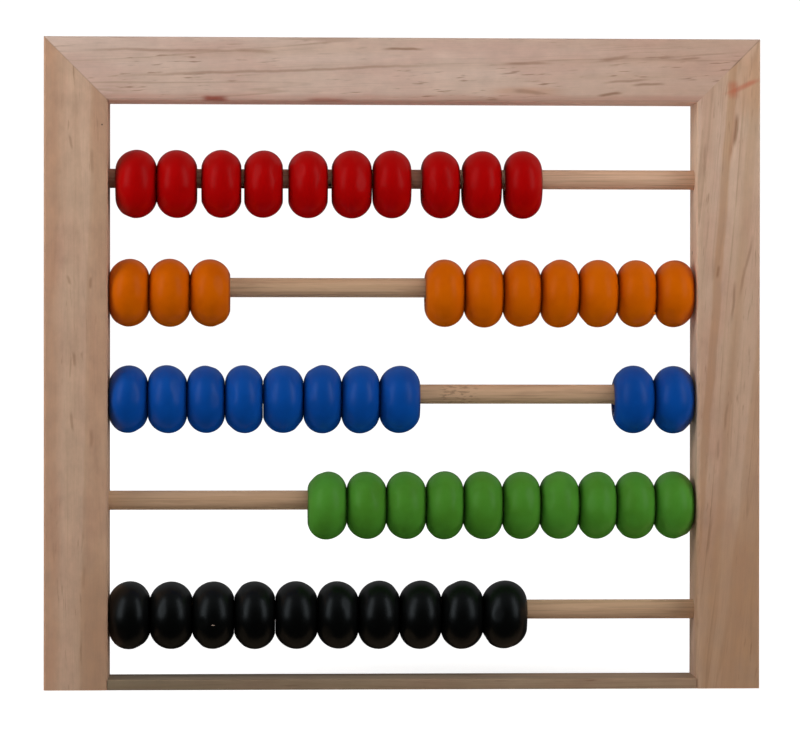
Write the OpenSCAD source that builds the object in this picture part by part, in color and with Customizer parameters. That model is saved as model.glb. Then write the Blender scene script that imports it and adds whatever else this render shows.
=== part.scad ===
// Wooden counting frame: five rows of ten painted ring beads that slide on dowel rods
// in a pine frame with mitred top corners. Sizes in millimetres.
// X runs along the width, -Y is the front, Z is up, and the base stands on Z = 0.

/* [Frame] */
// Overall width
frame_w = 220; // [200:1:260]
// Overall height
frame_h = 200; // [190:1:240]
// Depth of the frame, front to back
frame_depth = 18; // [14:0.5:24]
// Face width of the two stiles and the top rail
member_w = 19.5; // [14:0.5:22]
// Thickness of the slat that closes the frame at the bottom
slat_t = 3.2; // [2:0.1:5]
// Rounding of the long edges of the stiles and the top rail
arris_r = 0.8; // [0.3:0.1:1.5]
// Rounding of the slat's long edges
slat_arris_r = 0.4; // [0.2:0.1:0.8]
// Length of the stub tenons at the slat's ends
tenon_l = 5; // [3:0.5:8]
// Width of the stub tenons, front to back
tenon_w = 10; // [6:0.5:12]
// Gap around a glued tenon, a rod's end or a brad
glue_gap = 0.05; // [0.02:0.01:0.1]

/* [Brads] */
// Shank diameter of the brads that pin the mitred corners
brad_d = 1.2; // [0.8:0.1:1.6]
// Overall length of a brad
brad_l = 25; // [18:1:32]
// Diameter of a brad's head
brad_head_d = 2.2; // [1.8:0.1:2.8]
// Thickness of a brad's head
brad_head_t = 0.8; // [0.5:0.1:1.5]
// Distance between the two brads in a corner
brad_spacing = 9; // [6:0.5:10]
// Distance from the top edge down to the brads
brad_drop = 7; // [5:0.5:9]

/* [Rods] */
// Diameter of the dowel rods
rod_d = 6; // [4:0.1:8]
// Depth of the blind sockets that hold the rods in the stiles
socket_depth = 10; // [6:0.5:12]
// Distance from the top rail's underside down to the top row's rod
top_row_drop = 23.5; // [16:0.1:30]
// Distance from the slat's upper side up to the bottom row's rod
bottom_row_rise = 20.7; // [16:0.1:28]

/* [Beads] */
// Outer diameter of a bead
bead_d = 21.2; // [18:0.1:22]
// Length of a red, orange, blue or green bead
bead_l = 11.8; // [10.5:0.1:12.5]
// Length of a black bead
black_bead_l = 12.7; // [11:0.1:13.5]
// Diameter of a bead's bore
bore_d = 9.6; // [8:0.1:11]
// Rounding at both mouths of the bore
lip_r = 0.6; // [0.3:0.1:1]
// Width of the flat ring around each mouth, outside its rounding
land_w = 0.2; // [0.1:0.05:0.6]
// Gap between the top of the bore and the rod that the bead hangs on
hang_gap = 0.2; // [0.1:0.05:0.4]
// Gap between beads that are pushed together, and between a bead and a stile
bead_gap = 0.2; // [0.1:0.05:0.5]

/* [Hidden] */
bead_count = 10;
row_names = ["red", "orange", "blue", "green", "black"];
row_colors = ["#94060a", "#c46108", "#154b9f", "#3e7d2a", "#161616"];
row_bead_l = [bead_l, bead_l, bead_l, bead_l, black_bead_l];
last_row = len(row_names) - 1;
rows = [0 : last_row];

// The rods are evenly spaced from the top row to the bottom row, but for small errors in drilling
top_row_z = frame_h - member_w - top_row_drop;
bottom_row_z = slat_t + bottom_row_rise;
row_pitch = (top_row_z - bottom_row_z) / last_row;
drilling_errors = [0, -0.3, 0.1, 0.6, 0];
row_z = [for (row = rows) top_row_z - row * row_pitch + drilling_errors[row]];

// Number of beads that stand at the left end of each row; the others stand at the right
left_count = [10, 3, 8, 0, 10];
// The red beads stand loosely: the gap to the left of each one, from the left stile on
red_gaps = [2.2, 0.2, 1.5, 1.0, 1.8, 1.4, 0.5, 3.3, 1.0, 1.1];
// Turned beads are uneven: what each one has over its row's length, in percent of it, from the left on
turning_percent = [
    [5, 4, 3, 0, 2, 3, -1, -1, 1, -3],
    [3, 5, 3, 2, 0, -3, -2, 1, -2, -1],
    [-1, 1, -3, -2, 4, -2, -2, 4, 5, 3],
    [1, 2, 2, -3, 1, -3, 0, -4, 0, 1],
    [-2, 1, 0, -2, 1, -2, -1, 0, 0, 5],
];

inner_w = frame_w - 2 * member_w;
rod_l = inner_w + 2 * (socket_depth - glue_gap);
// A bead hangs by the top of its bore, so its axis lies this far below the rod's
hang = (bore_d - rod_d) / 2 - hang_gap;
// The top brads sit in the stiles' outer sides
brad_z = frame_h - brad_drop;
// Overshoot of cuts, so that no cut ends on a face
cut = 1;
// Sides of the large and the small round shapes
large_fn = 96;
small_fn = 48;

frame_color = "#c4a182";
rod_color = "#b99a78";
brad_color = "#8d8d90";

function rod_name(row) = str(row_names[row], "_rod");
function bead_name(row, place) = str(row_names[row], "_bead_", place);

// Length of a bead as turned; places count from 1 at the left
function turned_l(row, place) = row_bead_l[row] * (1 + turning_percent[row][place - 1] / 100);

// Gap to the left of a bead that stands at the left end of its row
function gap_before(row, place) = row_names[row] == "red" ? red_gaps[place - 1] : bead_gap;

// Left end of a bead that is stacked from the left stile, and of one stacked from the right stile
function from_left(row, place) =
    gap_before(row, place)
    + (place == 1 ? -inner_w / 2 : from_left(row, place - 1) + turned_l(row, place - 1));
function from_right(row, place) =
    (place == bead_count ? inner_w / 2 : from_right(row, place + 1)) - bead_gap - turned_l(row, place);

// Middle of a bead along its rod
function bead_x(row, place) =
    turned_l(row, place) / 2 + (place <= left_count[row] ? from_left(row, place) : from_right(row, place));

// Section of a frame member: a rectangle about the origin with rounded corners
module member_section(width, depth, corner_r) {
    difference() {
        square([width, depth], center = true);
        for (flip_x = [0, 1], flip_y = [0, 1])
            mirror([flip_x, 0])
                mirror([0, flip_y])
                    translate([width / 2 - corner_r, depth / 2 - corner_r])
                        difference() {
                            square(2 * corner_r);
                            circle(corner_r, $fn = small_fn);
                        }
    }
}

// Block on one side of the left corner's mitre plane, which runs from the outer to the inner corner
module left_mitre_block(side) {
    reach = 2 * member_w;
    translate([-frame_w / 2, 0, frame_h])
        rotate([0, 45, 0])
            translate([-cut, -frame_depth, side == "above" ? 0 : -reach])
                cube([reach, 2 * frame_depth, reach]);
}

// One brad with its head flush in the left stile's outer side, made larger by a gap for its hole
module left_brad(y, gap, overshoot) {
    translate([-frame_w / 2, y, brad_z])
        rotate([0, 90, 0]) {
            translate([0, 0, -overshoot])
                cylinder(d = brad_head_d + 2 * gap, h = brad_head_t + gap + overshoot, $fn = small_fn);
            cylinder(d = brad_d + 2 * gap, h = brad_l + gap, $fn = small_fn);
        }
}

module left_brad_pair(gap, overshoot) {
    for (side = [-1, 1])
        left_brad(side * brad_spacing / 2, gap, overshoot);
}

module left_stile_body() {
    difference() {
        translate([(member_w - frame_w) / 2, 0, 0])
            linear_extrude(frame_h)
                member_section(member_w, frame_depth, arris_r);
        left_mitre_block("above");
        for (row = rows)
            translate([-inner_w / 2 - socket_depth, 0, row_z[row]])
                rotate([0, 90, 0])
                    cylinder(d = rod_d + 2 * glue_gap, h = socket_depth + cut, $fn = small_fn);
        translate([-inner_w / 2 - tenon_l - glue_gap, -tenon_w / 2 - glue_gap, -cut])
            cube([tenon_l + glue_gap + cut, tenon_w + 2 * glue_gap, slat_t + glue_gap + cut]);
        left_brad_pair(glue_gap, cut);
    }
}

module left_stile() {
    color(frame_color) left_stile_body();
}

module right_stile() {
    color(frame_color) mirror([1, 0, 0]) left_stile_body();
}

module top_rail() {
    color(frame_color)
        difference() {
            translate([-frame_w / 2, 0, frame_h - member_w / 2])
                rotate([0, 90, 0])
                    linear_extrude(frame_w)
                        member_section(member_w, frame_depth, arris_r);
            for (flip = [0, 1])
                mirror([flip, 0, 0]) {
                    left_mitre_block("below");
                    left_brad_pair(glue_gap, cut);
                }
        }
}

// The slat stands on the ground with the stiles; its tenons fill the notches in their ends
module bottom_rail() {
    tenon_span = inner_w + 2 * tenon_l;
    color(frame_color)
        union() {
            translate([-inner_w / 2, 0, slat_t / 2])
                rotate([0, 90, 0])
                    linear_extrude(inner_w)
                        member_section(slat_t, frame_depth, slat_arris_r);
            translate([-tenon_span / 2, -tenon_w / 2, 0])
                cube([tenon_span, tenon_w, slat_t]);
        }
}

module frame_brads() {
    color(brad_color)
        for (flip = [0, 1])
            mirror([flip, 0, 0])
                left_brad_pair(0, 0);
}

module rod(row) {
    color(rod_color)
        translate([-rod_l / 2, 0, row_z[row]])
            rotate([0, 90, 0])
                cylinder(d = rod_d, h = rod_l, $fn = small_fn);
}

// Half section of a bead: one arc from land to land over the crown, and rounded bore mouths
module bead_section(length) {
    bore_r = bore_d / 2;
    crown_r = bead_d / 2;
    rise = crown_r - bore_r - lip_r - land_w;
    arc_r = (rise * rise + length * length / 4) / (2 * rise);
    difference() {
        intersection() {
            translate([crown_r - arc_r, 0]) circle(arc_r, $fn = large_fn);
            translate([bore_r, -length / 2]) square([crown_r, length]);
        }
        for (flip = [0, 1])
            mirror([0, flip])
                difference() {
                    translate([bore_r - lip_r, length / 2 - lip_r]) square(2 * lip_r);
                    translate([bore_r + lip_r, length / 2 - lip_r]) circle(lip_r, $fn = small_fn);
                }
    }
}

module bead(row, place) {
    color(row_colors[row])
        translate([bead_x(row, place), 0, row_z[row] - hang])
            rotate([0, 90, 0])
                rotate_extrude($fn = large_fn)
                    bead_section(turned_l(row, place));
}

left_stile();
right_stile();
top_rail();
bottom_rail();
frame_brads();
for (row = rows)
    rod(row);
for (row = rows, place = [1 : bead_count])
    bead(row, place);
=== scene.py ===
import math
import random

import bmesh
import bpy
from mathutils import Matrix, Vector


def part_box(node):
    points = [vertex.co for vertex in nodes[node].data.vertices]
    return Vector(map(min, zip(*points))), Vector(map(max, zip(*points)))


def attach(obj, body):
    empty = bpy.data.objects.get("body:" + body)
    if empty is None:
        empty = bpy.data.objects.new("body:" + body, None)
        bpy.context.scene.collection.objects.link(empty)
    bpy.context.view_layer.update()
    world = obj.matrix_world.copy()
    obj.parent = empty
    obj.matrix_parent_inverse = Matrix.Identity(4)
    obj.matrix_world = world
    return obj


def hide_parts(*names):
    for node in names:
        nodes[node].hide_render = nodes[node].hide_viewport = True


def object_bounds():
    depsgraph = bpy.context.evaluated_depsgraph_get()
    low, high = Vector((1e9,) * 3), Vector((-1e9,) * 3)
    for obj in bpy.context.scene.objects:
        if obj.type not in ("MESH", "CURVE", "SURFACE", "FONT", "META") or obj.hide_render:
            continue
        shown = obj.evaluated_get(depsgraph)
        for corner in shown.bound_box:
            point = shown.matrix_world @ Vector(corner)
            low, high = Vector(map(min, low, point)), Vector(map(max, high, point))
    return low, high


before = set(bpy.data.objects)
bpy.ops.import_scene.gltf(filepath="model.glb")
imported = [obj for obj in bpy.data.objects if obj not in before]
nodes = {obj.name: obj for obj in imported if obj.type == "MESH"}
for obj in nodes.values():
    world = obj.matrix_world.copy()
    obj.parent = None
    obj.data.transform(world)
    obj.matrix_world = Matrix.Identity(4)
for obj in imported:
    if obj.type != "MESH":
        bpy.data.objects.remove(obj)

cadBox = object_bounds()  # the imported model's box, before anything is added
mm = 0.001
rowNames = ("red", "orange", "blue", "green", "black")
beadsPerRow = 10


# Camera

cameraSet = {
    "lens": 150.8,
    "sensor": 36.0,
    "clip": (0.01, 100.0),
    "azimuth": -2.39,  # degrees, a little to the left of the front
    "elevation": 0.34,
    "roll": 0.06,
    "distance": 1.037,
    "centre": (0.0, 0.0, 0.1),
    "aim": (-0.00065, 0.0, 0.0997),
}


# the turn that points -Z, the way a camera or a lamp looks, from a place to its aim
def lookAt(spot, aim):
    return (Vector(aim) - Vector(spot)).to_track_quat("-Z", "Y").to_matrix().to_4x4()


def placeCamera(opts):
    turn = math.radians(opts["azimuth"])
    lift = math.radians(opts["elevation"])
    away = Vector((math.sin(turn) * math.cos(lift), -math.cos(turn) * math.cos(lift), math.sin(lift)))
    spot = Vector(opts["centre"]) + opts["distance"] * away
    data = bpy.data.cameras.new("camera")
    data.lens = opts["lens"]
    data.sensor_width = opts["sensor"]
    data.clip_start, data.clip_end = opts["clip"]
    camera = bpy.data.objects.new("camera", data)
    roll = Matrix.Rotation(math.radians(opts["roll"]), 4, "Z")
    camera.matrix_world = Matrix.Translation(spot) @ lookAt(spot, opts["aim"]) @ roll
    bpy.context.scene.collection.objects.link(camera)
    bpy.context.scene.camera = camera


# Tools for materials and meshes

class Wire:
    # a socket in a node tree; arithmetic on wires adds Math nodes
    def __init__(self, tree, socket=None):
        self.tree = tree
        self.socket = socket

    # any node: its type, its settings, then the values or links of its sockets
    def node(self, kind, settings=None, sockets=None, out=0):
        made = self.tree.nodes.new("ShaderNode" + kind)
        for key, value in (settings or {}).items():
            setattr(made, key, value)
        for key, value in (sockets or {}).items():
            if isinstance(value, Wire):
                self.tree.links.new(value.socket, made.inputs[key])
            else:
                made.inputs[key].default_value = value
        return Wire(self.tree, made.outputs[out])

    def maths(self, operation, *values):
        return self.node("Math", {"operation": operation}, dict(enumerate(values)))

    def __add__(self, other):
        return self.maths("ADD", self, other)

    __radd__ = __add__

    def __sub__(self, other):
        return self.maths("SUBTRACT", self, other)

    def __rsub__(self, other):
        return self.maths("SUBTRACT", other, self)

    def __mul__(self, other):
        return self.maths("MULTIPLY", self, other)

    __rmul__ = __mul__

    def __abs__(self):
        return self.maths("ABSOLUTE", self)

    # 0 below low, 1 above high, with a soft change between
    def rise(self, low, high):
        span = {"Value": self, "From Min": low, "From Max": high}
        return self.node("MapRange", {"interpolation_type": "SMOOTHSTEP"}, span)

    # 1 below low, 0 above high
    def fall(self, low, high):
        return 1 - self.rise(low, high)

    def noise(self, place, scale=1.0, detail=2.0, roughness=0.5):
        values = {"Vector": place, "Scale": scale, "Detail": detail, "Roughness": roughness}
        return self.node("TexNoise", None, values)

    def vector(self, x, y, z):
        return self.node("CombineXYZ", None, {0: x, 1: y, 2: z})

    # the three parts of a vector
    def parts(self):
        return [self.node("SeparateXYZ", None, {0: self}, out=axis) for axis in range(3)]

    def length(self):
        return self.node("VectorMath", {"operation": "LENGTH"}, {0: self}, out=1)

    def distance(self, spot):
        return self.node("VectorMath", {"operation": "DISTANCE"}, {0: self, 1: spot}, out=1)

    def blend(self, factor, first, second, how="MIX"):
        settings = {"data_type": "RGBA", "blend_type": how}
        return self.node("Mix", settings, {0: factor, 6: first, 7: second}, out=2)

    # the value of an attribute of the mesh
    def attribute(self, name):
        return self.node("Attribute", {"attribute_name": name}, None, out=2)

    # object coordinates in millimetres
    def place(self):
        metres = self.node("TexCoord", out=3)
        return self.node("VectorMath", {"operation": "SCALE"}, {0: metres, "Scale": 1 / mm})


def rgba(color):
    return (color[0], color[1], color[2], 1.0)


# a recipe is a start value and the weights of named wires that are added to it
def weigh(recipe, wires):
    total, weights = recipe
    for name, weight in weights.items():
        total = wires[name] * weight + total
    return total


# a material with its Principled shader; constants go straight onto the shader's sockets
def newFinish(name, constants):
    material = bpy.data.materials.new(name)
    material.use_nodes = True
    tree = material.node_tree
    tree.nodes.clear()
    shader = tree.nodes.new("ShaderNodeBsdfPrincipled")
    output = tree.nodes.new("ShaderNodeOutputMaterial")
    tree.links.new(shader.outputs[0], output.inputs["Surface"])
    for key, value in constants.items():
        shader.inputs[key].default_value = value
    return material, Wire(tree), shader


def connect(wire, shader, name):
    wire.tree.links.new(wire.socket, shader.inputs[name])


# multiplies a colour by a plain number that varies
def darken(w, tone, level):
    return w.blend(1.0, tone, w.vector(level, level, level), "MULTIPLY")


def emboss(w, shader, opts, height):
    values = {"Strength": opts["bump"], "Distance": opts["bumpDepth"], "Height": height}
    connect(w.node("Bump", None, values), shader, "Normal")


def meshObject(bm, name):
    data = bpy.data.meshes.new(name)
    bm.to_mesh(data)
    bm.free()
    piece = bpy.data.objects.new(name, data)
    bpy.context.scene.collection.objects.link(piece)
    return piece


def setMaterial(piece, material):
    piece.data.materials.clear()
    piece.data.materials.append(material)


# Floor and light

studioSet = {
    "floorHalf": 12.0,
    "floorDrop": 0.1 * mm,
    "floorColor": (0.84, 0.84, 0.835),
    "floorDull": 0.985,
    "floorSpeck": (0.02, 3.0),
    # the paper glows more with distance, which keeps it white out to the horizon
    "floorGlow": {"near": 0.66, "far": 1.0, "reach": (20.0, 700.0)},
    "backdrop": 1.05,
    # brightness of the soft tent, as matt surfaces take it and as it shows in gloss
    "tent": {"back": 0.48, "up": 0.0},
    "gloss": {"back": 0.12, "up": 0.1},
    # where the tent's back and top begin and its foot ends, as parts of a view's direction
    "backEdge": (-0.2, 0.7),
    "upEdge": (0.15, 0.9),
    "footEdge": (-0.45, 0.1),
    # name: place, aim, width, height, watts, what it lights
    "lamps": {
        "leftPanel": ((-0.99, -0.70, 0.80), (0, 0, 0.80), 0.56, 1.7, 3.4, "gloss"),
        "rightPanel": ((0.99, -0.70, 0.80), (0, 0, 0.80), 0.50, 1.7, 3.0, "both"),
        "rightFill": ((0.99, -0.70, 0.80), (0, 0, 0.80), 0.50, 1.7, 1.9, "matt"),
        "rightNear": ((0.42, -0.20, 0.19), (0.07, 0, 0.13), 0.2, 0.4, 0.34, "matt"),
        "leftNear": ((-0.42, -0.20, 0.19), (-0.07, 0, 0.13), 0.2, 0.4, 0.17, "matt"),
        "underFill": ((0, -0.2, -0.35), (0, -0.2, 1.0), 3.0, 3.0, 13.6, "matt"),
        "topFill": ((0.06, -0.30, 0.40), (0, 0, 0.15), 0.5, 0.2, 0.62, "matt"),
        "sideFill": ((-0.55, -0.13, 0.28), (0.09, 0, 0.12), 0.3, 0.3, 1.68, "matt"),
    },
}


def layFloor(opts):
    bm = bmesh.new()
    bmesh.ops.create_grid(bm, x_segments=1, y_segments=1, size=opts["floorHalf"])
    bmesh.ops.translate(bm, verts=bm.verts, vec=(0, 0, -opts["floorDrop"]))
    floor = meshObject(bm, "floor")
    constants = {"Roughness": 0.8, "Specular IOR Level": 0.0, "Emission Strength": 1.0}
    material, w, shader = newFinish("floorPaper", constants)
    spot = w.place()
    glow = opts["floorGlow"]
    far = spot.length().rise(*glow["reach"])
    connect(w.blend(far, rgba([glow["near"]] * 3), rgba([glow["far"]] * 3)), shader, "Emission Color")
    dull = [channel * opts["floorDull"] for channel in opts["floorColor"]]
    tone = w.blend(w.noise(spot, *opts["floorSpeck"]), rgba(opts["floorColor"]), rgba(dull))
    connect(tone, shader, "Base Color")
    setMaterial(floor, material)
    floor.visible_diffuse = False
    floor.visible_glossy = False
    floor.visible_shadow = False


def hangTent(opts):
    world = bpy.data.worlds.new("studio")
    world.use_nodes = True
    bpy.context.scene.world = world
    sky = Wire(world.node_tree)
    y, z = sky.node("TexCoord", out=0).parts()[1:]
    seen = sky.node("LightPath")
    glossy = Wire(sky.tree, seen.socket.node.outputs["Is Glossy Ray"])

    def levels(room):
        walls = y.rise(*opts["backEdge"]) * room["back"] + z.rise(*opts["upEdge"]) * room["up"]
        return walls * z.rise(*opts["footEdge"])

    level = glossy * levels(opts["gloss"]) + (1 - glossy) * levels(opts["tent"])
    level = seen * opts["backdrop"] + (1 - seen) * level
    connect(level, world.node_tree.nodes["Background"], "Color")


def setLamps(opts):
    for name, (spot, aim, width, height, watts, lights) in opts["lamps"].items():
        data = bpy.data.lights.new(name, "AREA")
        data.shape = "RECTANGLE"
        data.size = width
        data.size_y = height
        data.energy = watts
        data.cycles.use_multiple_importance_sampling = lights != "matt"
        lamp = bpy.data.objects.new(name, data)
        lamp.matrix_world = Matrix.Translation(spot) @ lookAt(spot, aim)
        lamp.visible_camera = False
        lamp.visible_glossy = lights != "matt"
        lamp.visible_diffuse = lights != "gloss"
        bpy.context.scene.collection.objects.link(lamp)


# Pine of the frame

pineSet = {
    "pale": (0.66, 0.49, 0.39),
    "tan": (0.53, 0.365, 0.255),
    "rosy": (0.60, 0.40, 0.315),
    "line": (0.33, 0.20, 0.13),
    "dash": (0.25, 0.125, 0.065),
    "glueLine": (0.26, 0.155, 0.10),
    "speck": (0.06, 0.045, 0.035),
    "specular": 0.3,
    # noise drawn out along the grain: features per mm along and across it, lane, detail, roughness
    "grain": {
        "drift": (0.012, 0.04, 0.0, 2.0, 0.5),
        "wobble": (0.07, 0.05, 3.0, 3.0, 0.5),
        "patch": (0.035, 0.10, 83.0, 3.0, 0.55),
        "mottle": (0.13, 0.2, 97.0, 4.0, 0.62),
        "bands": (0.004, 0.22, 5.0, 2.0, 0.5),
        "rings": (0.0045, 0.10, 11.0, 2.0, 0.45),
        "breaks": (0.025, 0.3, 23.0, 3.0, 0.6),
        "fineLine": (0.008, 0.75, 31.0, 3.0, 0.55),
        "fineZone": (0.02, 0.2, 41.0, 2.0, 0.5),
        "fibre": (0.10, 3.0, 53.0, 3.0, 0.6),
        "dashZone": (0.02, 0.09, 61.0, 2.0, 0.5),
        "dash": (0.13, 1.25, 71.0, 2.0, 0.5),
    },
    "driftReach": 3.0,
    "wobbleReach": 2.0,
    # where a pattern's values start and end to show
    "edges": {
        "patch": (0.38, 0.68),
        "bands": (0.32, 0.68),
        "late": (0.35, 0.93),
        "line": (0.84, 0.93),
        "ringEnd": (0.95, 1.0),
        "breaks": (0.38, 0.62),
        "fineLine": (0.004, 0.03),
        "fineZone": (0.45, 0.7),
        "dashZone": (0.40, 0.60),
        "dash": (0.60, 0.76),
    },
    "shares": {"bands": 0.75, "patch": 0.7, "late": 0.28, "line": 0.75, "fineLine": 0.5, "speck": 0.8},
    "fibreShade": 0.2,
    # the grain makes coloured bands, the painted highlight, stained patches, patches of painted shade and
    # marks ragged
    "ragged": {
        "stripsAndHighlight": (0.25, {"mottle": 0.7, "fibre": 0.6}),
        "stainsAndShade": (0.4, {"mottle": 1.1}),
        "marks": (0.35, {"fibre": 1.1}),
    },
    "roughness": (0.62, {"late": -0.08, "fibre": 0.1, "marks": -0.1}),
    "relief": (0.0, {"late": 0.4, "fibre": 0.5, "marks": -0.5, "line": -0.4}),
    "bump": 0.3,
    "bumpDepth": 0.12 * mm,
    "frontEdge": (-7.0, -2.0),  # the most visible marks and stains lie near the front face
    "streakFade": (0.2, 0.55),  # shares of a streak's length
    "streakEdge": (0.1, 0.75),  # shares of its width
    "speckEdge": (0.5, 1.0),  # shares of a speck's radius
    # the right stile takes the rail's tone where they meet, and its inner face is painted lighter towards
    # the top, as painted light from the left
    "joined": {"tint": (1.04, 0.965, 0.915), "z": (130.0, 182.0), "x": (98.6, 100.2)},
    "wallLight": {"tint": (1.24, 1.2, 1.085), "z": (60.0, 120.0), "x": (90.55, 91.1)},
    "underLight": {"tint": (1.55, 1.6, 1.6), "z": (180.5, 180.9)},  # painted light: the rail's lower side, which faces down into shade, is painted lighter too
    "zoneShare": 0.95,
    # the glued mitres show as thin broken lines; the right one closes up towards the inner corner
    "seamEdge": (0.06, 0.42),
    "seamBreaks": (0.14, 2.0),
    "seamBreakEdge": (0.3, 0.6),
    "seamLeft": 0.26,
    "seamRight": {"closed": 0.04, "open": 0.8, "z": (188.5, 191.0)},
}

# lean is the slope of the grain; lengths are in millimetres
# far is the tint at the upper or right end, and where the change to it starts and ends
# a colour band, or the painted highlight along an edge, is (middle, half width, soft edge, slope, colour,
# strength)
# a mark is (place along, place across, length, width, slope, strength); a stained patch or a patch of
# painted shade has its colour first
# a speck is (x, y, z, radius)
boardSet = {
    "left_stile": {
        "upright": True,
        "seed": 3.0,
        "lean": 0.0,
        "rings": 4.0,
        "bands": 0.35,
        "lines": 0.15,
        "dashes": 0.5,
        "mottle": 0.5,
        "tint": (0.98, 0.865, 0.763),
        "far": ((0.98, 0.865, 0.763), 0.0, 200.0),
        "stripsAndHighlight": [
            (-101.6, 3.2, 1.6, 0.015, (0.70, 0.56, 0.45), 0.35),
            (-109.4, 1.8, 3.4, 0.0, (0.53, 0.315, 0.205), 0.5),
            (-94.7, 4.0, 0.7, 0.019, (0.51, 0.325, 0.205), 0.36),
        ],
        "marks": [
            (161.6, -95.4, 8.6, 1.1, 0.05, 0.30),
            (167.7, -101.8, 5.2, 0.8, -0.14, 0.40),
            (125.5, -102.2, 3.3, 1.0, -0.29, 0.40),
            (124.6, -95.5, 4.1, 0.9, 0.02, 0.45),
            (101.2, -100.7, 5.0, 1.0, -0.07, 0.45),
            (82.4, -101.5, 6.9, 0.9, -0.13, 0.45),
            (77.1, -95.6, 6.4, 1.1, 0.0, 0.35),
            (34.6, -97.6, 8.3, 1.0, 0.03, 0.25),
        ],
        "stainsAndShade": [
            # painted shade: darker towards the stile's lower end, near its inner edge
            ((0.40, 0.245, 0.155), 14.0, -94.5, 62.0, 11.0, 0.0, 0.42),
        ],
        "specks": [(-92.2, -9.0, 173.0, 0.35)],
    },
    "right_stile": {
        "upright": True,
        "seed": 17.0,
        "lean": 0.085,
        "rings": 6.0,
        "bands": 0.7,
        "lines": 0.5,
        "dashes": 0.5,
        "mottle": 0.36,
        "tint": (0.965, 0.865, 0.768),
        "far": ((1.091, 1.047, 0.97), 85.0, 185.0),
        "stripsAndHighlight": [
            (87.4, 0.8, 0.9, 0.075, (0.45, 0.25, 0.13), 0.48),
            (93.2, 0.5, 1.6, 0.085, (0.44, 0.26, 0.15), 0.3),
            # painted highlight: a pale band along the inner front edge, where the rounded edge catches the
            # light
            (90.6, 0.5, 0.9, 0.0, (0.74, 0.55, 0.44), 0.45),
            (104.2, 6.0, 1.2, 0.108, (0.46, 0.27, 0.15), 0.36),
        ],
        "marks": [
            (172.0, 102.4, 11.0, 1.3, 0.09, 0.75),
            (162.8, 92.8, 11.7, 0.8, 0.03, 0.35),
            (128.4, 97.0, 4.5, 1.0, 0.10, 0.6),
            (119.4, 101.5, 13.0, 0.8, 0.11, 0.5),
            (130.0, 105.5, 22.0, 0.9, 0.22, 0.4),
            (83.8, 99.7, 9.9, 0.8, 0.11, 0.4),
            (73.6, 97.2, 7.6, 0.8, 0.09, 0.35),
            (47.0, 94.4, 13.0, 0.9, 0.12, 0.35),
        ],
        "stainsAndShade": [
            ((0.54, 0.30, 0.18), 186.0, 106.0, 24.0, 13.0, 0.05, 0.45),
            ((0.52, 0.15, 0.09), 185.4, 104.8, 5.2, 3.6, 2.0, 0.62),
            ((0.50, 0.14, 0.08), 184.4, 101.6, 6.4, 3.4, 0.0, 0.6),
            ((0.40, 0.17, 0.09), 170.0, 101.6, 18.0, 1.4, 0.09, 0.4),
            # painted shade: the stile is darker towards its lower end
            ((0.47, 0.28, 0.15), 20.0, 99.0, 90.0, 36.0, 0.0, 0.4),
        ],
        "specks": [(90.5, 2.5, 134.5, 0.7)],
    },
    "top_rail": {
        "upright": False,
        "seed": 31.0,
        "lean": 0.034,
        "rings": 5.0,
        "bands": 0.5,
        "lines": 0.45,
        "dashes": 0.8,
        "mottle": 0.36,
        "tint": (1.105, 1.097, 1.132),
        "far": ((0.983, 0.911, 0.894), 20.0, 95.0),
        "stripsAndHighlight": [(181.2, 0.5, 1.5, 0.0, (0.46, 0.23, 0.17), 0.5)],
        "marks": [
            (-37.4, 189.7, 112.0, 0.9, 0.039, 0.45),
            (-74.2, 195.7, 58.0, 0.9, 0.0, 0.4),
            (-46.0, 195.6, 15.0, 1.2, -0.05, 0.4),
            (-0.1, 196.3, 14.0, 0.8, 0.03, 0.75),
            (37.7, 192.3, 17.0, 0.9, 0.0, 0.5),
            (68.6, 187.0, 16.0, 0.8, 0.06, 0.5),
            (75.3, 186.0, 11.6, 0.8, 0.05, 0.6),
            (64.8, 193.9, 11.0, 1.1, 0.14, 0.45),
            (63.5, 183.0, 8.7, 0.9, 0.09, 0.75),
            (38.4, 183.2, 10.5, 1.3, -0.08, 0.5),
            (88.3, 193.8, 7.2, 0.7, 0.05, 0.5),
        ],
        "stainsAndShade": [
            ((0.30, 0.09, 0.06), -57.8, 180.9, 9.0, 1.7, 0.0, 0.95),
            ((0.36, 0.14, 0.095), -23.5, 180.9, 15.0, 1.4, 0.0, 0.6),
            ((0.50, 0.25, 0.15), 38.0, 183.6, 26.0, 2.6, -0.02, 0.4),
        ],
        "specks": [],
    },
    "bottom_rail": {
        "upright": False,
        "seed": 47.0,
        "lean": 0.0,
        "rings": 5.0,
        "bands": 0.7,
        "lines": 0.5,
        "dashes": 0.5,
        "mottle": 0.3,
        # the rail's dark tint is partly darker, browner wood and partly painted shade, as the rail lies
        # low beneath the rows of beads
        "tint": (0.443, 0.454, 0.381),
        "far": ((0.644, 0.592, 0.486), -95.0, 95.0),
        "stripsAndHighlight": [],
        "marks": [],
        "stainsAndShade": [],
        "specks": [],
    },
}


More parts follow.
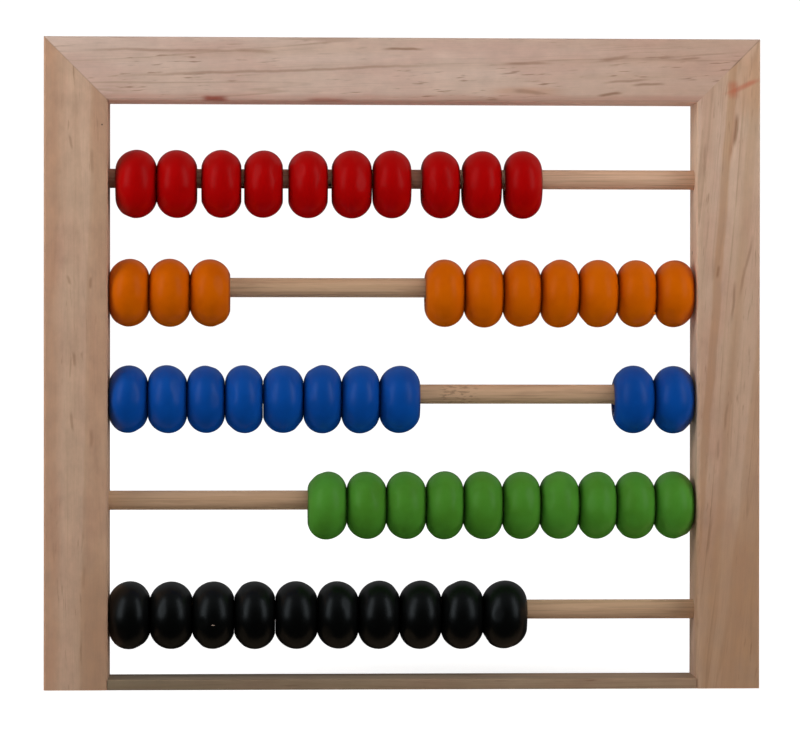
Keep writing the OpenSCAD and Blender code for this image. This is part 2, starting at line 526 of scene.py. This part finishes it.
def pineBoard(name, board, opts):
    material, w, shader = newFinish(name + "_pine", {"Specular IOR Level": opts["specular"]})
    spot = w.place()
    x, y, z = spot.parts()
    along, level = (z, x) if board["upright"] else (x, z)
    edges, shares, ragged = opts["edges"], opts["shares"], opts["ragged"]

    def grain(kind, across):
        lengthwise, crosswise, lane, detail, roughness = opts["grain"][kind]
        stretched = w.vector(along * lengthwise + board["seed"], across * crosswise + lane, y * crosswise)
        return w.noise(stretched, 1.0, detail, roughness)

    def clear(kind, across):
        return grain(kind, across).rise(*edges[kind])

    wobble = (grain("wobble", level) - 0.5) * opts["wobbleReach"]
    bent = level - along * board["lean"] + (grain("drift", level) - 0.5) * opts["driftReach"]
    ring = w.maths("FRACT", grain("rings", bent) * board["rings"])
    ringEnd = ring.fall(*edges["ringEnd"])
    late = ring.rise(*edges["late"]) * ringEnd
    line = ring.rise(*edges["line"]) * ringEnd * clear("breaks", bent)
    fineLine = abs(grain("fineLine", bent) - 0.5).fall(*edges["fineLine"]) * clear("fineZone", bent)
    wood = {"mottle": grain("mottle", level), "fibre": grain("fibre", bent), "late": late, "line": line}

    # growth rings and colours that run along the board, and a painted highlight along the right stile's
    # inner front edge
    banded = clear("bands", bent) * board["bands"] * shares["bands"]
    tone = w.blend(banded, rgba(opts["pale"]), rgba(opts["tan"]))
    tone = w.blend(clear("patch", level) * shares["patch"], tone, rgba(opts["rosy"]))
    tone = w.blend(late * shares["late"] * board["bands"], tone, rgba(opts["tan"]))
    for middle, half, soft, slope, color, strength in board["stripsAndHighlight"]:
        bandOrHighlight = abs(level - along * slope + wobble - middle).fall(half, half + soft)
        tone = w.blend(bandOrHighlight * weigh(ragged["stripsAndHighlight"], wood) * strength, tone, rgba(color))
    tone = w.blend(line * board["lines"] * shares["line"], tone, rgba(opts["line"]))
    tone = w.blend(fineLine * board["lines"] * shares["fineLine"], tone, rgba(opts["line"]))

    # stained patches, painted shade and dark marks
    front = y.fall(*opts["frontEdge"])

    def streak(alongAt, acrossAt, length, width, slope, strength):
        run = along - alongAt
        off = level - acrossAt - run * slope + wobble
        fade = abs(run).fall(*[share * length for share in opts["streakFade"]])
        return abs(off).fall(*[share * width for share in opts["streakEdge"]]) * fade * front * strength

    for color, *stain in board["stainsAndShade"]:
        tone = w.blend(streak(*stain) * weigh(ragged["stainsAndShade"], wood), tone, rgba(color))
    marks = clear("dash", bent) * clear("dashZone", bent) * board["dashes"]
    for mark in board["marks"]:
        marks = w.maths("MAXIMUM", marks, streak(*mark))
    wood["marks"] = marks
    tone = w.blend(marks * weigh(ragged["marks"], wood), tone, rgba(opts["dash"]))

    tone = w.blend(1.0, tone, boardTint(name, board, w, (x, z, along, wobble), opts), "MULTIPLY")
    grey = (wood["mottle"] - 0.5) * board["mottle"] + (wood["fibre"] - 0.5) * opts["fibreShade"] + 1
    tone = darken(w, tone, grey)
    for *centre, radius in board["specks"]:
        speck = spot.distance(centre).fall(*[share * radius for share in opts["speckEdge"]])
        tone = w.blend(speck * shares["speck"], tone, rgba(opts["speck"]))
    if name != "bottom_rail":
        tone = w.blend(mitreSeam(w, spot, opts), tone, rgba(opts["glueLine"]))
    connect(tone, shader, "Base Color")
    connect(weigh(opts["roughness"], wood), shader, "Roughness")
    emboss(w, shader, opts, weigh(opts["relief"], wood))
    return material


# the board's own tint from end to end, and the tints of single zones
def boardTint(name, board, w, places, opts):
    x, z, along, wobble = places
    farTint, farFrom, farTo = board["far"]
    tint = w.blend(along.rise(farFrom, farTo), rgba(board["tint"]), rgba(farTint))
    zones = []
    if name == "right_stile":
        joined, wallLight = opts["joined"], opts["wallLight"]
        zones.append((joined["tint"], z.rise(*joined["z"]) * (x + wobble).fall(*joined["x"])))
        # painted light on the upper part of the right stile's inner face
        zones.append((wallLight["tint"], z.rise(*wallLight["z"]) * x.fall(*wallLight["x"])))
    if name == "top_rail":
        # painted light on the top rail's lower side
        underLight = opts["underLight"]
        zones.append((underLight["tint"], z.fall(*underLight["z"])))
    for color, zone in zones:
        tint = w.blend(zone * opts["zoneShare"], tint, rgba(color))
    return tint


# the mitres run at 45 degrees from the frame's upper corners
def mitreSeam(w, spot, opts):
    x, z = spot.parts()[::2]
    halfWidth, height = cadBox[1][0] / mm, cadBox[1][2] / mm
    off = abs((halfWidth - abs(x)) - (height - z))
    broken = w.noise(spot, *opts["seamBreaks"]).rise(*opts["seamBreakEdge"])
    right = x.rise(-1.0, 1.0)
    corner = opts["seamRight"]
    opened = z.rise(*corner["z"]) * corner["open"] + corner["closed"]
    return off.fall(*opts["seamEdge"]) * broken * ((1 - right) * opts["seamLeft"] + right * opened)


def dressFrame():
    for name, board in boardSet.items():
        setMaterial(nodes[name], pineBoard(name, board, pineSet))
    print("frame dressed")


# Brads

bradSet = {
    "steel": (0.42, 0.42, 0.43),
    "dull": (0.2, 0.17, 0.15),
    "stain": (1.6, 3.0),
    "stainEdge": (0.45, 0.7),
    "roughness": (0.38, {"stain": 0.3}),
}


def dressBrads(opts):
    material, w, shader = newFinish("brad_steel", {"Metallic": 1.0})
    stain = w.noise(w.place(), *opts["stain"]).rise(*opts["stainEdge"])
    connect(w.blend(stain, rgba(opts["steel"]), rgba(opts["dull"])), shader, "Base Color")
    connect(weigh(opts["roughness"], {"stain": stain}), shader, "Roughness")
    setMaterial(nodes["frame_brads"], material)
    print("brads dressed")


# Rods

rodSet = {
    "segments": 40,
    "stations": 14,
    "waver": 0.02 * mm,
    "rimAngle": 1.0,  # radians; the edges around a rod's ends are sharper
    "endRound": 0.35 * mm,
    "endSteps": 3,
    "pale": (0.67, 0.438, 0.275),
    "tan": (0.583, 0.365, 0.218),
    "knots": (0.40, 0.235, 0.145),
    "streak": (0.31, 0.185, 0.11),
    # colour of the painted shade and painted red reflection that the red beads throw on their rod
    "paintedRedShade": (0.19, 0.025, 0.015),
    "paintedRedShadeX": (-5.0, 44.0),  # painted shade and painted red reflection of the red beads on their rod fade out between these
    "paintedRedShadeShare": (0.45, {"streak": 0.4}),
    "upperTint": (1.12, 1.11, 1.2),  # the uppermost rod is paler and cooler than the others
    "speckX": 17.5,  # middle of a coarse stretch of the blue rod
    "speckEdge": (3.25, 7.8),
    "specular": 0.3,
    # features per mm along and across a rod, detail, roughness
    "grain": {
        "wide": (0.012, 0.7, 3.0, 0.6),
        "streak": (0.03, 2.2, 3.0, 0.6),
        "fibre": (0.2, 5.0, 2.0, 0.5),
        "knots": (0.045, 0.45, 3.0, 0.6),
        "speck": (0.5, 1.6, 2.0, 0.5),
    },
    "edges": {"wide": (0.35, 0.68), "streak": (0.53, 0.64), "knots": (0.5, 0.7), "speck": (0.52, 0.66)},
    "shares": {"streak": 0.4, "knots": 0.4, "speck": 0.7},
    "shade": (0.9, {"fibre": 0.2}),
    "roughness": (0.5, {"fibre": 0.12}),
    "relief": (0.0, {"fibre": 1.0, "streak": -0.4}),
    "bump": 0.3,
    "bumpDepth": 0.1 * mm,
}


def dowelFinish(opts):
    material, w, shader = newFinish("dowel", {"Specular IOR Level": opts["specular"]})
    x, y, z = w.place().parts()
    wood = {}
    for kind, (lengthwise, crosswise, detail, roughness) in opts["grain"].items():
        stretched = w.vector(x * lengthwise, y * crosswise, z * crosswise)
        wood[kind] = w.noise(stretched, 1.0, detail, roughness)
    shown = {kind: wood[kind].rise(*edge) for kind, edge in opts["edges"].items()}
    shares = opts["shares"]
    tone = w.blend(shown["wide"], rgba(opts["pale"]), rgba(opts["tan"]))
    tone = w.blend(shown["streak"] * shares["streak"], tone, rgba(opts["streak"]))
    tone = w.blend(shown["knots"] * shares["knots"], tone, rgba(opts["knots"]))

    # 1 on a row's rod and 0 on the others
    def onRod(row):
        low, high = [corner.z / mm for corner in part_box(row + "_rod")]
        return abs(z - (low + high) / 2).fall(high - low, 2 * (high - low))

    coarse = abs(x - opts["speckX"]).fall(*opts["speckEdge"]) * onRod("blue")
    tone = w.blend(coarse * shown["speck"] * shares["speck"], tone, rgba(opts["streak"]))
    upper = onRod(rowNames[0])
    tone = w.blend(upper, tone, rgba(opts["upperTint"]), "MULTIPLY")
    # painted shade and painted red reflection where the red beads hang over the uppermost rod
    paintedRedShade = upper * x.fall(*opts["paintedRedShadeX"])
    tone = w.blend(paintedRedShade * weigh(opts["paintedRedShadeShare"], wood), tone, rgba(opts["paintedRedShade"]))
    tone = darken(w, tone, weigh(opts["shade"], wood))
    connect(tone, shader, "Base Color")
    connect(weigh(opts["roughness"], wood), shader, "Roughness")
    emboss(w, shader, opts, weigh(opts["relief"], wood))
    return material


# a disc drawn out from station to station, a little thinner at some, with rounded ends
def buildRod(row, material, opts):
    low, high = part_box(row + "_rod")
    middle = (low + high) / 2
    radius = (high.z - low.z) / 2
    draw = random.Random(row + " rod")
    bm = bmesh.new()
    bmesh.ops.create_circle(bm, cap_ends=True, segments=opts["segments"], radius=radius)
    bmesh.ops.rotate(bm, verts=bm.verts, cent=(0, 0, 0), matrix=Matrix.Rotation(math.pi / 2, 3, "Y"))
    bmesh.ops.translate(bm, verts=bm.verts, vec=(low.x, middle.y, middle.z))
    face = bm.faces[:]
    step = (high.x - low.x) / opts["stations"]
    axis = Matrix.Translation((0, -middle.y, -middle.z))
    before = 1
    for station in range(opts["stations"]):
        grown = bmesh.ops.extrude_face_region(bm, geom=face)["geom"]
        if station:
            bmesh.ops.delete(bm, geom=face, context="FACES_ONLY")
        face = [part for part in grown if isinstance(part, bmesh.types.BMFace)]
        bmesh.ops.translate(bm, verts=face[0].verts, vec=(step, 0, 0))
        inner = station < opts["stations"] - 1
        share = 1 - draw.random() * opts["waver"] / radius if inner else 1
        bmesh.ops.scale(bm, verts=face[0].verts, vec=(1, share / before, share / before), space=axis)
        before = share
    bmesh.ops.recalc_face_normals(bm, faces=bm.faces)
    rims = [edge for edge in bm.edges if edge.calc_face_angle(0) > opts["rimAngle"]]
    bmesh.ops.bevel(bm, geom=rims, offset=opts["endRound"], affect="EDGES", segments=opts["endSteps"],
                    profile=0.5, material=-1)
    for part in bm.faces:
        part.smooth = len(part.verts) == 4
    piece = meshObject(bm, row + "Dowel")
    setMaterial(piece, material)
    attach(piece, "frame")
    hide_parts(row + "_rod")


# Beads

# flecks are (x, z, radius) in millimetres on the front of a row
paintSet = {
    "red": {
        "body": (0.485, 0.0016, 0.0018),
        "shade": (0.425, 0.0011, 0.0013),
        "gloss": 0.18,
        "sheen": (1, 1, 1),
        "flecks": [],
    },
    "orange": {
        "body": (0.73, 0.142, 0.0004),
        "shade": (0.65, 0.116, 0.0003),
        "gloss": 0.15,
        "sheen": (1, 1, 1),
        "flecks": [],
    },
    "blue": {
        "body": (0.0036, 0.081, 0.408),
        "shade": (0.0029, 0.066, 0.34),
        "gloss": 0.3,
        "sheen": (1, 1, 1),
        "flecks": [],
    },
    "green": {
        "body": (0.084, 0.31, 0.033),
        "shade": (0.072, 0.253, 0.021),
        "gloss": 0.28,
        "sheen": (1, 1, 1),
        "flecks": [],
    },
    "black": {
        "body": (0.0024, 0.0026, 0.0024),
        "shade": (0.0018, 0.0018, 0.0018),
        "gloss": 0.44,
        "sheen": (0.82, 0.93, 1),
        "flecks": [(-58.2, 19.9, 0.32), (-39.2, 21.1, 0.25)],
    },
}

# how every row's paint lies on the beads; a noise is scale, detail, roughness
coatSet = {
    "cloud": (0.16, 3.0, 0.55),
    "cloudEdge": (0.35, 0.7),
    "cloudShare": 0.6,
    "tintShare": 0.4,
    "peel": (1.1, 2.0),
    "creaseShadeEdge": (0.86, 1.0),  # painted shade: the paint is darker beside a bead's ends, in the creases where it meets its neighbours
    "creaseShadeShare": 0.6,
    "creaseShadeDark": 0.3,
    "wornEdge": (0.7, 0.95),
    "chip": (1.3, 3.0, 0.6),
    "chipEdge": (0.5, 0.6),
    "chipShare": 0.85,
    "fleckStretch": (0.6, 2.2),
    "fleckEdge": (0.6, 1.2),  # shares of a fleck's radius
    "frontEdge": (-6.0, -5.0),
    "roughness": (0.27, {"cloud": 0.12, "chip": 0.3}),
    "relief": (0.0, {"peel": 0.5, "cloud": 1.0, "chip": -1.0}),
    "bump": 0.25,
    "bumpDepth": 0.08 * mm,
}


def beadPaint(row, paint, opts):
    constants = {"Specular IOR Level": paint["gloss"], "Specular Tint": rgba(paint["sheen"])}
    material, w, shader = newFinish(row + "_paint", constants)
    spot = w.place()
    x, y, z = spot.parts()
    cloud = w.noise(spot, *opts["cloud"])
    peel = w.noise(spot, *opts["peel"])
    clouded = cloud.rise(*opts["cloudEdge"]) * opts["cloudShare"] + w.attribute("tint") * opts["tintShare"]
    tone = w.blend(clouded, rgba(paint["body"]), rgba(paint["shade"]))
    # painted shade in the creases beside a bead's ends, where its neighbours shut out the light
    creaseShade = w.attribute("creaseShade").rise(*opts["creaseShadeEdge"]) * opts["creaseShadeShare"]
    tone = w.blend(creaseShade, tone, rgba([channel * opts["creaseShadeDark"] for channel in paint["shade"]]))

    # bare wood where the paint has chipped, at the bore's mouths and in single flecks
    chip = w.noise(spot, *opts["chip"]).rise(*opts["chipEdge"])
    chip = chip * w.attribute("worn").rise(*opts["wornEdge"])
    stretchX, stretchZ = opts["fleckStretch"]
    for fleckX, fleckZ, radius in paint["flecks"]:
        away = w.vector((x - fleckX) * stretchX, 0.0, (z - fleckZ) * stretchZ + (peel - 0.5))
        fleck = away.length().fall(*[share * radius for share in opts["fleckEdge"]])
        chip = w.maths("MAXIMUM", chip, fleck * y.fall(*opts["frontEdge"]))
    tone = w.blend(chip * opts["chipShare"], tone, rgba(pineSet["pale"]))
    coat = {"cloud": cloud, "peel": peel, "chip": chip}
    connect(tone, shader, "Base Color")
    connect(weigh(opts["roughness"], coat), shader, "Roughness")
    emboss(w, shader, opts, weigh(opts["relief"], coat))
    return material


beadSet = {
    "boreR": 4.8 * mm,
    "lipR": 0.6 * mm,
    "landW": 0.2 * mm,
    "arcSteps": 30,
    "lipSteps": 6,
    "boreSteps": 5,
    "turnSteps": 80,
    "weld": 0.005 * mm,
    "wornFrom": 6.6 * mm,
    "lessR": 0.02,  # greatest share by which a bead is turned too small
    "closeUp": 0.13 * mm,  # beads that touch show less of the gap that lets them slide
    "tilt": 1.6,  # degrees by which a crown leans over
    "drop": 0.12 * mm,
    "flats": 9,  # places where sanding left a bead less round
    "flatLean": (15, 60),  # degrees from the crown towards an end
    "flatDepth": 0.36 * mm,
    "flatShare": (0.3, 1.0),  # each flat is this share of the depth
    "flatBite": 0.75,
    # drops of paint that dried on a bead: place from the bead's middle, and radius
    "nibs": {"orange_bead_9": ((4.7 * mm, -5.7 * mm, -6.15 * mm), 0.7 * mm)},
}


# outer radius of the flat ring around the bore's mouth
def mouthRadius(opts):
    return opts["boreR"] + opts["lipR"] + opts["landW"]


# radius of the arc from mouth to mouth over the crown, and its centre's distance from the axis
def crownArc(length, crownR, opts):
    rise = crownR - mouthRadius(opts)
    arcR = (rise ** 2 + length ** 2 / 4) / (2 * rise)
    return arcR, crownR - arcR


# the section is drawn by spinning one vertex over the crown and round both lips
def turnBead(length, crownR, opts):
    lipR, landW = opts["lipR"], opts["landW"]
    lipMidR = opts["boreR"] + lipR
    mouthR = mouthRadius(opts)
    arcMidR = crownArc(length, crownR, opts)[1]
    arcAngle = 2 * math.atan2(length / 2, mouthR - arcMidR)
    bm = bmesh.new()
    tip = bm.verts.new((-length / 2, 0, mouthR))

    def sweep(vert, centre, angle, steps, shift=(0, 0, 0)):
        made = bmesh.ops.spin(bm, geom=[vert], cent=centre, axis=(0, 1, 0), angle=angle, steps=steps,
                              dvec=Vector(shift) / steps)
        return [part for part in made["geom_last"] if isinstance(part, bmesh.types.BMVert)][0]

    tip = sweep(tip, (0, 0, arcMidR), arcAngle, opts["arcSteps"])
    tip = sweep(tip, (0, 0, 0), 0, 1, (0, 0, -landW))
    tip = sweep(tip, (length / 2 - lipR, 0, lipMidR), math.pi / 2, opts["lipSteps"])
    tip = sweep(tip, (0, 0, 0), 0, opts["boreSteps"], (2 * lipR - length, 0, 0))
    tip = sweep(tip, (lipR - length / 2, 0, lipMidR), math.pi / 2, opts["lipSteps"])
    sweep(tip, (0, 0, 0), 0, 1, (0, 0, landW))
    bmesh.ops.remove_doubles(bm, verts=bm.verts, dist=opts["weld"])
    section = bm.verts[:] + bm.edges[:]
    bmesh.ops.spin(bm, geom=section, cent=(0, 0, 0), axis=(1, 0, 0), angle=2 * math.pi,
                   steps=opts["turnSteps"], use_merge=True)
    bmesh.ops.remove_doubles(bm, verts=bm.verts, dist=opts["weld"])
    bmesh.ops.recalc_face_normals(bm, faces=bm.faces)
    return bm


# sanding by hand: flats at random places press the rounded outside in a little
def sandBead(bm, length, crownR, draw, opts):
    arcR, ringR = crownArc(length, crownR, opts)
    for _ in range(opts["flats"]):
        lean = math.radians(draw.uniform(*opts["flatLean"])) * draw.choice((-1, 1))
        turn = draw.uniform(0, 2 * math.pi)
        way = Vector((math.sin(lean), math.cos(lean) * math.cos(turn), math.cos(lean) * math.sin(turn)))
        reach = ringR * math.cos(lean) + arcR - opts["flatDepth"] * draw.uniform(*opts["flatShare"])
        for vert in bm.verts:
            over = vert.co.dot(way) - reach
            if over > 0:
                vert.co -= way * over * opts["flatBite"]


# what the paint reads: the bead's own tone, worn paint near the bore, and the painted shade beside both
# ends
def markBead(bm, length, shade, opts):
    worn = bm.verts.layers.float.new("worn")
    tint = bm.verts.layers.float.new("tint")
    creaseShade = bm.verts.layers.float.new("creaseShade")
    for vert in bm.verts:
        radius = math.hypot(vert.co.y, vert.co.z)
        wear = (opts["wornFrom"] - radius) / (opts["wornFrom"] - opts["boreR"])
        vert[worn] = max(0.0, min(1.0, wear))
        vert[tint] = shade
        # how near a vertex lies to an end, for the painted shade there
        vert[creaseShade] = min(1.0, 2 * abs(vert.co.x) / length)


# the crown leans over, and the mouths stay square to the rod
def leanBead(bm, crownR, draw, opts):
    leanY, leanZ = [math.tan(math.radians(draw.uniform(-1, 1) * opts["tilt"])) for _ in range(2)]
    mouthR = mouthRadius(opts)
    for vert in bm.verts:
        radius = math.hypot(vert.co.y, vert.co.z)
        share = max(0.0, radius - mouthR) / (crownR - mouthR)
        vert.co.x += share * (leanY * vert.co.y + leanZ * vert.co.z)


def buildBead(row, place, material, opts):
    name = "{}_bead_{}".format(row, place)
    low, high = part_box(name)
    middle = (low + high) / 2
    draw = random.Random(name)
    length = high.x - low.x + opts["closeUp"]
    crownR = (high.z - low.z) / 2 * (1 - draw.random() * opts["lessR"])
    bm = turnBead(length, crownR, opts)
    sandBead(bm, length, crownR, draw, opts)
    if name in opts["nibs"]:
        spot, nibR = opts["nibs"][name]
        bmesh.ops.create_icosphere(bm, subdivisions=3, radius=nibR, matrix=Matrix.Translation(spot))
    markBead(bm, length, draw.random(), opts)
    leanBead(bm, crownR, draw, opts)
    bmesh.ops.translate(bm, verts=bm.verts, vec=middle - Vector((0, 0, draw.random() * opts["drop"])))
    for face in bm.faces:
        face.smooth = True
    piece = meshObject(bm, row + "Bead" + str(place))
    setMaterial(piece, material)
    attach(piece, name)
    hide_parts(name)


placeCamera(cameraSet)
layFloor(studioSet)
hangTent(studioSet)
setLamps(studioSet)
bpy.context.scene.view_settings.view_transform = "Standard"
print("camera and studio placed")
dressFrame()
dressBrads(bradSet)
dowel = dowelFinish(rodSet)
for row in rowNames:
    buildRod(row, dowel, rodSet)
print("rods built")
for row in rowNames:
    paint = beadPaint(row, paintSet[row], coatSet)
    for place in range(1, beadsPerRow + 1):
        buildBead(row, place, paint, beadSet)
    print(row, "beads built")
